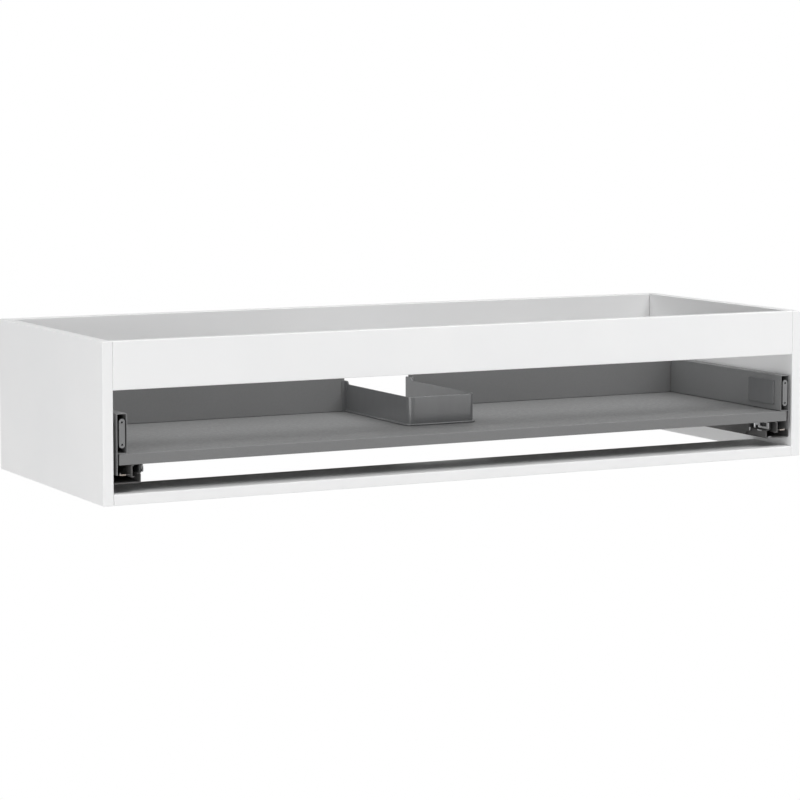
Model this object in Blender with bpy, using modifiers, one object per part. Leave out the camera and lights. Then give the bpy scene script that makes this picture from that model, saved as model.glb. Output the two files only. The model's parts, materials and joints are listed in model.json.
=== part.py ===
"""A wall-hung washbasin cabinet with one shallow drawer on a pair of concealed full-extension slides.

Own frame: X runs across the cabinet, the front faces -Y, +Z is up, and the origin is in the middle of the
cabinet's footprint. Named lengths are in millimetres and MM turns them into metres. Pieces near a side are
placed by three distances: s, inwards from the inner face of the nearer side panel; d, back from the front
plane; z, up from the cabinet's underside. Every such piece is made once for each side by a loop.
"""

import math

import bmesh
import bpy
from mathutils import Matrix, Vector

MM = 0.001

# Carcass
WIDTH = 1200.0
DEPTH = 442.0
HEIGHT = 235.0
BOARD = 16.0
EDGE_ROUND = 0.8
FRONT_RAIL_HEIGHT = 70.0
BACK_RAIL_HEIGHT = 100.0
BOTTOM_RAIL_DEPTH = 108.0
INNER = WIDTH / 2 - BOARD

# Gaps: touching pieces, and a pin that turns in its hole
GAP = 0.3
PIN_GAP = 0.35

# Drawer
DRAWER_FRONT = 0.8
DRAWER_REAR = 350.0
FLOOR_BOTTOM = 57.5
FLOOR_TOP = FLOOR_BOTTOM + BOARD
FLOOR_SIDE_GAP = 9.2
BACK_FRONT = 323.3
BACK_THICKNESS = 12.0
BACK_REAR = BACK_FRONT + BACK_THICKNESS
BACK_TOP = 127.5

# Metal side of the drawer: a folded sheet, double walled above the floor
SIDE_SHEET = 1.0
SIDE_OUTER = 5.3
SIDE_WIDTH = 15.9
SIDE_TOP = 131.6
SIDE_SKIRT = 43.0
SIDE_BEND = 0.9
SIDE_INNER = SIDE_OUTER + SIDE_WIDTH
KEY_HOLE_RADIUS = 3.5

# Siphon insert: a U of thin wall around the cut-out in the floor and back
SIPHON_HALF = 58.5
SIPHON_FRONT = 104.0
SIPHON_WALL = 2.0
SIPHON_BOTTOM = FLOOR_BOTTOM + 0.5
SIPHON_TOP = 118.0
SIPHON_CORNER = 11.5
SIPHON_FLANGE = 3.5
SIPHON_FLANGE_HEIGHT = 1.4
SIPHON_OPENING_GAP = 0.5
EAR_TOP = 123.2
EAR_FRONT = 319.4
CLIP_FACE = 1.1
CLIP_WEB_OUTER = 60.3
CLIP_REACH = 65.7
BACK_END = 60.7
# Joined solids overlap by this much so that no two of their faces share a plane
OVERLAP = 0.3

# Front bracket, the plate that the drawer front screws to, and the tongue behind it
BRACKET = (0.0, 2.0)
BRACKET_S = 13.3
BRACKET_Z = 103.0
BRACKET_WIDTH = 8.6
BRACKET_HEIGHT = 42.0
BRACKET_HOLE_SPACING = 32.0
BRACKET_HOLE_RADIUS = 1.6
TONGUE = (1.5, 40.0)
TONGUE_S = (12.5, 14.5)
TONGUE_HEIGHT = 22.0

# Adjusters behind the cover cap
HOUSING = (22.0, 74.0)
HOUSING_Z = (80.0, 126.0)
HOUSING_S = 7.8
HOUSING_CORNER = 4.0
CAM_D = 56.0
HEIGHT_CAM_Z = 113.0
SIDE_CAM_Z = 92.0
CAM_RADIUS = 6.0
CAM_RANGE = (12.1, 18.8)
CAM_KEY_RADIUS = 2.4
CAM_KEY_DEPTH = 3.5
CAP = (18.5, 89.5)
CAP_Z = (83.0, 122.5)
CAP_THICKNESS = 1.9
CAP_CORNER = 3.0

# Angle between the drawer's back and side
ANGLE_SHEET = 1.5
ANGLE_REACH = 62.0
ANGLE_REAR = 349.0
ANGLE_Z = (80.0, 122.0)
ANGLE_SCREWS = ((34.0, 92.0), (52.0, 110.0))
ANGLE_SCREW_RADIUS = 2.2

# Slide, from the outside in: cabinet rail, middle rail, drawer rail
RAIL_SHEET = 1.5
CABINET_RAIL = (8.0, 424.0)
RAIL_BOTTOM = 30.0
RAIL_TOP = 64.0
RAIL_INNER = 44.5
RAIL_LIP_TOP = 44.5
RAIL_LIP_RETURN = 38.5
RAIL_BEND = 2.0
RAIL_SCREW_DEPTHS = (37.0, 261.0, 389.0)
RAIL_SCREW_Z = 52.0
RAIL_SCREW_RADIUS = 2.6

MIDDLE_SHEET = 1.4
MIDDLE_RAIL = (52.0, 333.0)
TRAY_S = (9.7, 40.9)
TRAY_Z = 37.2
TRAY_OUTER_TOP = 45.5
TRAY_INNER_TOP = 42.3
UPRIGHT_S = 31.0
UPRIGHT_TOP = 49.3
UPRIGHT_REACH = 38.0

DRAWER_RAIL = (0.5, 350.0)
WEB_S = 27.95
WEB_BOTTOM = 39.7
SKIRT_S = 46.75
SKIRT_BOTTOM = 31.6
SKIRT_FRONT = 49.0
SKIRT_CORNER = (62.0, 38.5)
HOOK_S = 41.05
HOOK_Z = 46.6
HOOK_REACH = 35.4
HOOK_FRONT = 52.0
TAB = (4.0, 9.0)
TAB_S = (11.7, 19.8)
TAB_Z = 43.0
TAB_TOP = 46.2
TAB_ARM = (5.5, 7.5)
FOOT = (0.9, 6.0)
FOOT_REACH = 31.5

# Roller cages: depth, s and z of the strip, then the rows of windows across it
LOWER_CAGE = (100.0, 220.0)
LOWER_CAGE_S = (12.5, 38.5)
LOWER_CAGE_Z = (32.8, 35.2)
LOWER_WINDOWS = ((14.5, 21.5), (29.5, 36.5))
LOWER_WINDOW_DEPTH = 5.2
LOWER_WINDOW_COUNT = 4
UPPER_CAGE = (140.0, 260.0)
UPPER_CAGE_S = (32.2, 37.9)
UPPER_CAGE_Z = (51.2, 54.4)
UPPER_WINDOWS = ((33.0, 37.1),)
UPPER_WINDOW_DEPTH = 6.0
UPPER_WINDOW_COUNT = 6

# Stop behind the middle rail
BUMPER = (334.0, 340.0)
BUMPER_S = (12.0, 38.0)
BUMPER_Z = (31.8, 38.2)

# Soft-close unit behind the rails
CLOSER = (352.0, 420.0)
CLOSER_S = (4.0, 26.0)
CLOSER_Z = (32.0, 54.0)
CLOSER_WALL = 1.5
SPRING = (360.0, 410.0)
SPRING_S = 21.6
SPRING_Z = 46.0
SPRING_RADIUS = 1.9
SPRING_WIRE = 0.45
SPRING_TURNS = 10
DAMPER = (370.0, 418.0)
DAMPER_S = 9.0
DAMPER_Z = 46.7
DAMPER_RADIUS = 3.0
DAMPER_BORE = 1.2
DAMPER_BORE_END = 416.0
DAMPER_ROD = (365.3, 413.9)
DAMPER_ROD_RADIUS = 0.8

# Closing catch, a bar with two jaws for the drawer's pin and an arm for the damper's rod
CATCH = (336.0, 410.0)
CATCH_S = (12.4, 18.4)
CATCH_Z = (38.7, 44.8)
JAWS = ((336.0, 339.5), (348.5, 352.0))
JAW_TOP = 47.5
ARM = (362.0, 365.0)
ARM_S = (7.6, 13.2)
ARM_BOTTOM = 45.9
POST_S = (12.4, 15.0)
CLOSING_PIN_D = 344.0
CLOSING_PIN_S = 20.4
CLOSING_PIN_Z = 49.6
CLOSING_PIN_RADIUS = 1.5
CLOSING_PIN_LENGTH = 13.0

# Release catch at the front of each slide: a housing, and a sheet lever with a window on an upright pin
CATCH_HOUSING = (3.0, 48.5)
CATCH_HOUSING_S = (39.6, 43.2)
CATCH_HOUSING_ARM_S = 50.5
CATCH_HOUSING_ARM = (44.0, 48.5)
CATCH_HOUSING_BOTTOM = RAIL_LIP_TOP + GAP
LEVER_S = 44.8
LEVER_SHEET = 1.4
LEVER = (0.6, 36.0)
LEVER_FRAME_END = 28.5
LEVER_ARM_Z = (49.6, 53.6)
LEVER_BOTTOM = 46.3
LEVER_TOP = 56.9
LEVER_WINDOW = (5.0, 23.5)
LEVER_WINDOW_Z = (49.3, 55.8)
LEVER_CORNER = 2.5
LEVER_PIVOT_D = 38.0
BARREL_RADIUS = 2.5
LEVER_PIN_RADIUS = 1.25
LEVER_PIN_HEAD = 2.2
LEVER_PIN_HEAD_HEIGHT = 1.2

# Wall hangers in the back corners
HANGER = (372.0, 425.0)
HANGER_INNER = 12.25
HANGER_Z = (72.0, 131.0)
HANGER_SHEET = 1.5
HANGER_BEND = 2.0
HANGER_KEY_RADIUS = 4.0
HANGER_SCREW_D = 410.0
HANGER_SCREW_ZS = (82.0, 122.0)
HANGER_SCREW_RADIUS = 2.5
HANGER_CAM_D = 392.0
HANGER_CAM_Z = 122.0
HANGER_CAM_S = 9.9
HANGER_CAM_RADIUS = 5.5
HANGER_CAM_THICKNESS = 2.6
HANGER_SLOT_REACH = 3.6
HANGER_SLOT_HALF = 0.7
HOOK_PLATE_S = (5.2, 8.2)
HOOK_PLATE = (384.0, 441.5)
HOOK_PLATE_Z = (98.0, 112.0)
HOOK_NOSE = 437.0
HOOK_NOSE_BOTTOM = 86.0

SIDES = (("left", -1), ("right", 1))


# ---------------------------------------------------------------- scene and materials


def clear_scene():
    for old in list(bpy.data.objects):
        bpy.data.objects.remove(old, do_unlink=True)


def new_collection(name):
    collection = bpy.data.collections.new(name)
    bpy.context.scene.collection.children.link(collection)
    return collection


def new_material(name, colour, roughness, metallic=0.0):
    material = bpy.data.materials.new(name)
    material.use_nodes = True
    shader = material.node_tree.nodes["Principled BSDF"]
    shader.inputs["Base Color"].default_value = (*colour, 1.0)
    shader.inputs["Roughness"].default_value = roughness
    shader.inputs["Metallic"].default_value = metallic
    return material


clear_scene()
PARTS = new_collection("vanity_cabinet_with_drawer_slides")
CUTTERS = new_collection("cutters")

WHITE_LACQUER = new_material("white_lacquer", (0.86, 0.86, 0.87), 0.15)
GREY_BOARD = new_material("grey_board", (0.17, 0.17, 0.175), 0.5)
GREY_STEEL = new_material("grey_steel", (0.13, 0.13, 0.137), 0.4)
GREY_PLASTIC = new_material("grey_plastic", (0.11, 0.11, 0.115), 0.45)
ZINC = new_material("zinc", (0.52, 0.52, 0.54), 0.35, 1.0)
BLACK_STEEL = new_material("black_steel", (0.06, 0.06, 0.062), 0.35, 0.6)
DARK_PLASTIC = new_material("dark_plastic", (0.03, 0.03, 0.033), 0.5)
WHITE_PLASTIC = new_material("white_plastic", (0.75, 0.75, 0.73), 0.5)
RUBBER = new_material("rubber", (0.04, 0.04, 0.04), 0.8)


# ---------------------------------------------------------------- places


def place(x, d, z):
    """The point at x across, d back from the front plane and z up, in metres."""
    return Vector((x, d - DEPTH / 2, z)) * MM


def across(sign, s):
    """The x of a point s inwards from the side panel on that side."""
    return sign * (INNER - s)


def joint_empty(name, x, d, z):
    """An empty on a joint's axis, which the moving pieces are parented to."""
    empty = bpy.data.objects.new(name, None)
    empty.empty_display_size = 0.02
    empty.location = place(x, d, z)
    PARTS.objects.link(empty)
    return empty


def attach(obj, empty):
    """Parents a piece to a joint's empty without moving it."""
    obj.parent = empty
    obj.matrix_parent_inverse = Matrix.Translation(-empty.location)
    return obj


# ---------------------------------------------------------------- shapes


def add_mesh(name, bm, location, material, collection):
    mesh = bpy.data.meshes.new(name)
    bm.to_mesh(mesh)
    bm.free()
    obj = bpy.data.objects.new(name, mesh)
    obj.location = location
    collection.objects.link(obj)
    if material:
        mesh.materials.append(material)
    return obj


def box(name, xs, ds, zs, material=None, collection=None):
    """A block between two x, two d and two z values."""
    bm = bmesh.new()
    bmesh.ops.create_cube(bm, size=1.0)
    size = Vector((abs(xs[1] - xs[0]), ds[1] - ds[0], zs[1] - zs[0])) * MM
    bmesh.ops.scale(bm, vec=size, verts=bm.verts)
    middle = place(sum(xs) / 2, sum(ds) / 2, sum(zs) / 2)
    return add_mesh(name, bm, middle, material, collection or PARTS)


def rod(name, centre, axis, radius, length, material=None, collection=None, segments=16):
    """A cylinder about X, Y or Z, with its middle at centre, an (x, d, z)."""
    bm = bmesh.new()
    bmesh.ops.create_cone(
        bm,
        cap_ends=True,
        segments=segments,
        radius1=radius * MM,
        radius2=radius * MM,
        depth=length * MM,
    )
    turn = {
        "X": Matrix.Rotation(math.pi / 2, 3, "Y"),
        "Y": Matrix.Rotation(-math.pi / 2, 3, "X"),
        "Z": Matrix.Identity(3),
    }[axis]
    bmesh.ops.transform(bm, matrix=turn.to_4x4(), verts=bm.verts)
    obj = add_mesh(name, bm, place(*centre), material, collection or PARTS)
    obj.data.set_sharp_from_angle(angle=math.radians(40))
    return obj


def rounded(path, radius, steps=3, closed=False):
    """The path with each inner corner turned into an arc of that radius."""
    points = [Vector(p) for p in path]
    count = len(points)
    out = []
    for i, corner in enumerate(points):
        if not closed and i in (0, count - 1):
            out.append(corner)
            continue
        back = (points[i - 1] - corner).normalized()
        ahead = (points[(i + 1) % count] - corner).normalized()
        half = back.angle(ahead) / 2
        reach = radius / math.tan(half)
        centre = corner + (back + ahead).normalized() * (radius / math.sin(half))
        start = corner + back * reach - centre
        sweep = start.angle_signed(corner + ahead * reach - centre)
        for step in range(steps + 1):
            turn = Matrix.Rotation(-sweep * step / steps, 2)
            out.append(centre + turn @ start)
    return out


def sheet(path, thickness, radius, steps=3):
    """The closed outline of a bent sheet whose middle line is the path."""
    line = rounded(path, radius, steps)
    left, right = [], []
    for i, point in enumerate(line):
        before = (point - line[i - 1]).normalized() if i else None
        after = (line[i + 1] - point).normalized() if i + 1 < len(line) else None
        along = ((before or after) + (after or before)).normalized()
        normal = Vector((-along.y, along.x))
        stretch = 1 / max(0.5, along.dot(after or before))
        left.append(point + normal * thickness / 2 * stretch)
        right.append(point - normal * thickness / 2 * stretch)
    return left + right[::-1]


def block_outline(us, vs, radius=0.0, steps=3):
    """A rectangle, with round corners when a radius is given."""
    corners = [(us[0], vs[0]), (us[1], vs[0]), (us[1], vs[1]), (us[0], vs[1])]
    return rounded(corners, radius, steps, closed=True) if radius else corners


def extruded(name, outline, plane, span, material=None, collection=None):
    """An outline made solid. plane "front" takes (x, z) and spans d, "plan" takes (x, d) and spans z,
    and "side" takes (d, z) and spans x."""
    curve = bpy.data.curves.new(name, "CURVE")
    curve.dimensions = "2D"
    curve.fill_mode = "BOTH"
    curve.extrude = abs(span[1] - span[0]) / 2 * MM
    spline = curve.splines.new("POLY")
    spline.points.add(len(outline) - 1)
    spline.use_cyclic_u = True
    for point, (u, v) in zip(spline.points, outline):
        point.co = (u * MM, v * MM, 0.0, 1.0)
    outlined = bpy.data.objects.new(name, curve)
    middle = sum(span) / 2
    if plane == "front":
        outlined.location = place(0, middle, 0)
        outlined.rotation_euler = (math.pi / 2, 0, 0)
    elif plane == "plan":
        outlined.location = place(0, 0, middle)
    else:
        outlined.location = place(middle, 0, 0)
        outlined.rotation_euler = (math.pi / 2, 0, math.pi / 2)
    CUTTERS.objects.link(outlined)
    return as_mesh(outlined, material, collection or PARTS)


def as_mesh(curve_object, material, collection):
    """The curve's solid as a mesh object with its caps welded on, in the curve's place."""
    name = curve_object.name
    bpy.context.view_layer.update()
    evaluated = curve_object.evaluated_get(bpy.context.evaluated_depsgraph_get())
    mesh = bpy.data.meshes.new_from_object(evaluated)
    matrix = curve_object.matrix_world.copy()
    bpy.data.objects.remove(curve_object, do_unlink=True)
    bm = bmesh.new()
    bm.from_mesh(mesh)
    bmesh.ops.remove_doubles(bm, verts=bm.verts, dist=1e-6)
    bmesh.ops.recalc_face_normals(bm, faces=bm.faces)
    bm.to_mesh(mesh)
    bm.free()
    obj = bpy.data.objects.new(name, mesh)
    obj.name = name
    obj.matrix_world = matrix
    collection.objects.link(obj)
    mesh.materials.clear()
    if material:
        mesh.materials.append(material)
    return obj


def boolean(obj, other, operation):
    """Cuts or joins with another shape, which stays as a hidden helper."""
    other.hide_render = True
    other.display_type = "WIRE"
    modifier = obj.modifiers.new(operation.lower(), "BOOLEAN")
    modifier.operation = operation
    modifier.solver = "EXACT"
    modifier.object = other
    return obj


def cut(obj, *cutters):
    for cutter in cutters:
        boolean(obj, cutter, "DIFFERENCE")
    return obj


def join(obj, *others):
    for other in others:
        boolean(obj, other, "UNION")
    return obj


def round_edges(obj, width, segments=1):
    """Rounds the sharp edges by width."""
    modifier = obj.modifiers.new("round_edges", "BEVEL")
    modifier.width = width * MM
    modifier.segments = segments
    modifier.limit_method = "ANGLE"
    modifier.angle_limit = math.radians(50)
    return obj


def helper_box(name, xs, ds, zs):
    return box(name, xs, ds, zs, collection=CUTTERS)


def helper_rod(name, centre, axis, radius, length, segments=16):
    return rod(name, centre, axis, radius, length, None, CUTTERS, segments)


def mirrored(sign, outline):
    """An outline given in s, turned into x for that side."""
    return [(across(sign, s), v) for s, v in outline]


# ---------------------------------------------------------------- carcass


def side_panels():
    for side, sign in SIDES:
        panel = box(
            f"{side}_side_panel",
            (sign * INNER, sign * WIDTH / 2),
            (0, DEPTH),
            (0, HEIGHT),
            WHITE_LACQUER,
        )
        round_edges(panel, EDGE_ROUND)


def cross_rails():
    between = (-INNER + GAP, INNER - GAP)
    rails = {
        "front_top_rail": ((0, BOARD), (HEIGHT - FRONT_RAIL_HEIGHT, HEIGHT)),
        "back_top_rail": ((DEPTH - BOARD, DEPTH), (HEIGHT - BACK_RAIL_HEIGHT, HEIGHT)),
        "front_bottom_rail": ((0, BOTTOM_RAIL_DEPTH), (0, BOARD)),
    }
    for name, (ds, zs) in rails.items():
        round_edges(box(name, between, ds, zs, WHITE_LACQUER), EDGE_ROUND)


def wall_hanger(side, sign):
    """A steel channel screwed to the side panel, its hook for the wall rail, and the cam that lifts the hook."""
    outer_s = HANGER_SHEET / 2 + GAP
    channel = sheet(
        [
            (outer_s, HANGER[1]),
            (outer_s, HANGER[0]),
            (HANGER_INNER, HANGER[0]),
            (HANGER_INNER, HANGER[1]),
        ],
        HANGER_SHEET,
        HANGER_BEND,
    )
    body = extruded(f"wall_hanger_body_{side}", mirrored(sign, channel), "plan", HANGER_Z, ZINC)
    inner_x = across(sign, HANGER_INNER)
    key_hole = helper_rod(
        f"hanger_key_hole_{side}",
        (inner_x, HANGER_CAM_D, HANGER_CAM_Z),
        "X",
        HANGER_KEY_RADIUS,
        4 * HANGER_SHEET,
    )
    screw_holes = [
        helper_rod(
            f"hanger_screw_hole_{side}_{i}",
            (across(sign, outer_s), HANGER_SCREW_D, z),
            "X",
            HANGER_SCREW_RADIUS,
            3 * HANGER_SHEET,
        )
        for i, z in enumerate(HANGER_SCREW_ZS)
    ]
    cut(body, key_hole, *screw_holes)

    hook_points = [
        (HOOK_PLATE[0], HOOK_PLATE_Z[0]),
        (HOOK_PLATE[0], HOOK_PLATE_Z[1]),
        (HOOK_PLATE[1], HOOK_PLATE_Z[1]),
        (HOOK_PLATE[1], HOOK_NOSE_BOTTOM),
        (HOOK_NOSE, HOOK_NOSE_BOTTOM),
        (HOOK_NOSE, HOOK_PLATE_Z[0]),
    ]
    hook = extruded(
        f"wall_hanger_hook_{side}",
        hook_points,
        "side",
        (across(sign, HOOK_PLATE_S[0]), across(sign, HOOK_PLATE_S[1])),
        ZINC,
    )
    lift = joint_empty(f"hanger_lift_{side}", inner_x, HANGER_SCREW_D, HOOK_PLATE_Z[0])
    attach(round_edges(hook, 0.5), lift)

    cam = rod(
        f"wall_hanger_cam_{side}",
        (across(sign, HANGER_CAM_S), HANGER_CAM_D, HANGER_CAM_Z),
        "X",
        HANGER_CAM_RADIUS,
        HANGER_CAM_THICKNESS,
        ZINC,
    )
    face = HANGER_CAM_S + HANGER_CAM_THICKNESS / 2
    slot = helper_box(
        f"hanger_cam_slot_{side}",
        (across(sign, face - HANGER_SLOT_HALF), across(sign, face + HANGER_SLOT_HALF)),
        (HANGER_CAM_D - HANGER_SLOT_REACH, HANGER_CAM_D + HANGER_SLOT_REACH),
        (HANGER_CAM_Z - HANGER_SLOT_HALF, HANGER_CAM_Z + HANGER_SLOT_HALF),
    )
    cut(cam, slot)
    attach(cam, joint_empty(f"hanger_cam_turn_{side}", inner_x, HANGER_CAM_D, HANGER_CAM_Z))


# ---------------------------------------------------------------- drawer box


def drawer_floor(carriage):
    """The floor board with the siphon cut-out open at the back."""
    half = INNER - FLOOR_SIDE_GAP
    opening = SIPHON_HALF + SIPHON_OPENING_GAP
    opening_front = SIPHON_FRONT - SIPHON_OPENING_GAP
    notch = rounded(
        [
            (opening, BACK_REAR),
            (opening, opening_front),
            (-opening, opening_front),
            (-opening, BACK_REAR),
        ],
        SIPHON_CORNER + SIPHON_OPENING_GAP,
        steps=5,
    )
    outline = [
        (half, BACK_REAR),
        *notch,
        (-half, BACK_REAR),
        (-half, DRAWER_FRONT),
        (half, DRAWER_FRONT),
    ]
    floor = extruded("drawer_floor", outline, "plan", (FLOOR_BOTTOM, FLOOR_TOP), GREY_BOARD)
    attach(round_edges(floor, 0.5), carriage)


def drawer_backs(carriage):
    for side, sign in SIDES:
        back = box(
            f"drawer_back_{side}",
            (sign * BACK_END, across(sign, SIDE_INNER + GAP)),
            (BACK_FRONT, BACK_REAR),
            (FLOOR_TOP + GAP, BACK_TOP),
            GREY_BOARD,
        )
        attach(round_edges(back, 0.5), carriage)


def siphon_insert(carriage):
    """The U-shaped wall with its flange on the floor, and at each end a clip around the back board."""
    middle = SIPHON_HALF - SIPHON_WALL / 2
    clip_front = BACK_FRONT - GAP - CLIP_FACE
    clip_rear = BACK_REAR + GAP + CLIP_FACE
    front = SIPHON_FRONT + SIPHON_WALL / 2
    wall_rear = clip_rear - 2 * OVERLAP
    wall = sheet(
        [(-middle, wall_rear), (-middle, front), (middle, front), (middle, wall_rear)],
        SIPHON_WALL,
        SIPHON_CORNER - SIPHON_WALL / 2,
        steps=6,
    )
    insert = extruded("siphon_insert", wall, "plan", (SIPHON_BOTTOM, SIPHON_TOP), GREY_PLASTIC)

    flange_width = SIPHON_FLANGE + 2 * OVERLAP
    flange_middle = SIPHON_HALF + SIPHON_FLANGE - flange_width / 2
    flange_front = SIPHON_FRONT - SIPHON_FLANGE + flange_width / 2
    flange = sheet(
        [
            (-flange_middle, clip_front + OVERLAP),
            (-flange_middle, flange_front),
            (flange_middle, flange_front),
            (flange_middle, clip_front + OVERLAP),
        ],
        flange_width,
        SIPHON_CORNER + SIPHON_FLANGE - flange_width / 2,
        steps=6,
    )
    base = FLOOR_TOP + GAP
    flange_z = (base, base + SIPHON_FLANGE_HEIGHT)
    pieces = [extruded("siphon_flange", flange, "plan", flange_z, None, CUTTERS)]
    for side, sign in SIDES:
        pieces += [siphon_clip(side, sign, clip_front, clip_rear, base)]
        pieces += [siphon_ear(side, sign, clip_front)]
    attach(join(insert, *pieces), carriage)


def siphon_clip(side, sign, front, rear, base):
    """The C that wraps the end of the back board."""
    web_inner = SIPHON_HALF - SIPHON_WALL / 2
    outline = [
        (web_inner, front),
        (CLIP_REACH, front),
        (CLIP_REACH, front + CLIP_FACE),
        (CLIP_WEB_OUTER, front + CLIP_FACE),
        (CLIP_WEB_OUTER, rear - CLIP_FACE),
        (CLIP_REACH, rear - CLIP_FACE),
        (CLIP_REACH, rear),
        (web_inner, rear),
    ]
    placed = [(sign * x, d) for x, d in outline]
    zs = (base + OVERLAP, EAR_TOP)
    return extruded(f"siphon_clip_{side}", placed, "plan", zs, None, CUTTERS)


def siphon_ear(side, sign, clip_front):
    """The step from the top of the wall up to the clip, with a slope at its front."""
    rear = clip_front + CLIP_FACE / 2
    top = EAR_TOP - OVERLAP
    slope_front = EAR_FRONT - 1.4 * (top - SIPHON_TOP)
    outline = [
        (slope_front, SIPHON_TOP - SIPHON_WALL),
        (rear, SIPHON_TOP - SIPHON_WALL),
        (rear, top),
        (EAR_FRONT, top),
        (slope_front, SIPHON_TOP + OVERLAP / 3),
    ]
    span = (sign * (SIPHON_HALF - SIPHON_WALL + OVERLAP), sign * (SIPHON_HALF - OVERLAP))
    return extruded(f"siphon_ear_{side}", outline, "side", span, None, CUTTERS)


def drawer_side(side, sign, carriage):
    """The folded side, with holes in its inner wall for the adjusters' key."""
    half = SIDE_SHEET / 2
    outer = SIDE_OUTER + half
    inner = SIDE_INNER - half
    top = SIDE_TOP - half
    closing = FLOOR_TOP + GAP + half
    web_end = outer + SIDE_SHEET
    outline = sheet(
        [(outer, SIDE_SKIRT), (outer, top), (inner, top), (inner, closing), (web_end, closing)],
        SIDE_SHEET,
        SIDE_BEND,
    )
    profile = extruded(
        f"drawer_side_{side}",
        mirrored(sign, outline),
        "front",
        (DRAWER_FRONT, DRAWER_REAR),
        GREY_STEEL,
    )
    key_holes = [
        helper_rod(
            f"key_hole_{side}_{i}",
            (across(sign, inner), CAM_D, z),
            "X",
            KEY_HOLE_RADIUS,
            2 * SIDE_SHEET,
        )
        for i, z in enumerate((HEIGHT_CAM_Z, SIDE_CAM_Z))
    ]
    attach(cut(profile, *key_holes), carriage)


def front_bracket(side, sign, carriage):
    """A plate with two holes and round ends, on a tongue that reaches back into the adjuster housing."""
    half_width = BRACKET_WIDTH / 2
    half_height = BRACKET_HEIGHT / 2
    outline = block_outline(
        (BRACKET_S - half_width, BRACKET_S + half_width),
        (BRACKET_Z - half_height, BRACKET_Z + half_height),
        half_width - 0.05,
        steps=6,
    )
    plate = extruded(
        f"front_bracket_{side}", mirrored(sign, outline), "front", BRACKET, GREY_STEEL
    )
    tongue = helper_box(
        f"bracket_tongue_{side}",
        (across(sign, TONGUE_S[0]), across(sign, TONGUE_S[1])),
        TONGUE,
        (BRACKET_Z - TONGUE_HEIGHT / 2, BRACKET_Z + TONGUE_HEIGHT / 2),
    )
    thickness = BRACKET[1] - BRACKET[0]
    holes = [
        helper_rod(
            f"bracket_hole_{side}_{i}",
            (across(sign, BRACKET_S), sum(BRACKET) / 2, BRACKET_Z + end * BRACKET_HOLE_SPACING / 2),
            "Y",
            BRACKET_HOLE_RADIUS,
            2 * thickness,
            12,
        )
        for i, end in enumerate((-1, 1))
    ]
    join(plate, tongue)
    attach(cut(plate, *holes), carriage)


def adjuster(side, sign, carriage):
    """The die-cast plate inside the drawer side and its two adjusting cams."""
    housing = extruded(
        f"adjuster_housing_{side}",
        block_outline(HOUSING, HOUSING_Z, HOUSING_CORNER),
        "side",
        (across(sign, HOUSING_S), across(sign, CAM_RANGE[0] - GAP)),
        ZINC,
    )
    attach(housing, carriage)
    for name, z in (("height_cam", HEIGHT_CAM_Z), ("side_cam", SIDE_CAM_Z)):
        middle = across(sign, sum(CAM_RANGE) / 2)
        thickness = CAM_RANGE[1] - CAM_RANGE[0]
        cam = rod(f"{name}_{side}", (middle, CAM_D, z), "X", CAM_RADIUS, thickness, ZINC)
        recess_x = across(sign, CAM_RANGE[1])
        recess = helper_rod(
            f"{name}_recess_{side}",
            (recess_x, CAM_D, z),
            "X",
            CAM_KEY_RADIUS,
            2 * CAM_KEY_DEPTH,
            6,
        )
        pivot = joint_empty(f"{name}_turn_{side}", middle, CAM_D, z)
        attach(pivot, carriage)
        attach(cut(cam, recess), pivot)


def cover_cap(side, sign, carriage):
    """The plain cover over the adjusters' key holes."""
    cap = extruded(
        f"cover_cap_{side}",
        block_outline(CAP, CAP_Z, CAP_CORNER),
        "side",
        (across(sign, SIDE_INNER + GAP), across(sign, SIDE_INNER + GAP + CAP_THICKNESS)),
        GREY_PLASTIC,
    )
    attach(round_edges(cap, 0.5), carriage)


def rear_bracket(side, sign, carriage):
    """The steel angle that ties the drawer back to the side."""
    back_face = BACK_REAR + GAP + ANGLE_SHEET / 2
    wall_face = SIDE_INNER + GAP + ANGLE_SHEET / 2
    outline = sheet(
        [(ANGLE_REACH, back_face), (wall_face, back_face), (wall_face, ANGLE_REAR)],
        ANGLE_SHEET,
        1.6,
    )
    angle = extruded(f"rear_bracket_{side}", mirrored(sign, outline), "plan", ANGLE_Z, ZINC)
    holes = [
        helper_rod(
            f"rear_bracket_hole_{side}_{i}",
            (across(sign, s), back_face, z),
            "Y",
            ANGLE_SCREW_RADIUS,
            3 * ANGLE_SHEET,
            12,
        )
        for i, (s, z) in enumerate(ANGLE_SCREWS)
    ]
    attach(cut(angle, *holes), carriage)


# ---------------------------------------------------------------- slide


def cabinet_rail(side, sign):
    """The fixed rail: a channel whose outer leg is screwed to the side panel."""
    half = RAIL_SHEET / 2
    leg = GAP + half
    outline = sheet(
        [
            (leg, RAIL_TOP),
            (leg, RAIL_BOTTOM + half),
            (RAIL_INNER - half, RAIL_BOTTOM + half),
            (RAIL_INNER - half, RAIL_LIP_TOP - half),
            (RAIL_LIP_RETURN, RAIL_LIP_TOP - half),
        ],
        RAIL_SHEET,
        RAIL_BEND,
    )
    rail = extruded(
        f"cabinet_rail_{side}", mirrored(sign, outline), "front", CABINET_RAIL, BLACK_STEEL
    )
    holes = [
        helper_rod(
            f"rail_screw_hole_{side}_{i}",
            (across(sign, leg), d, RAIL_SCREW_Z),
            "X",
            RAIL_SCREW_RADIUS,
            3 * RAIL_SHEET,
        )
        for i, d in enumerate(RAIL_SCREW_DEPTHS)
    ]
    cut(rail, *holes)


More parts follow.
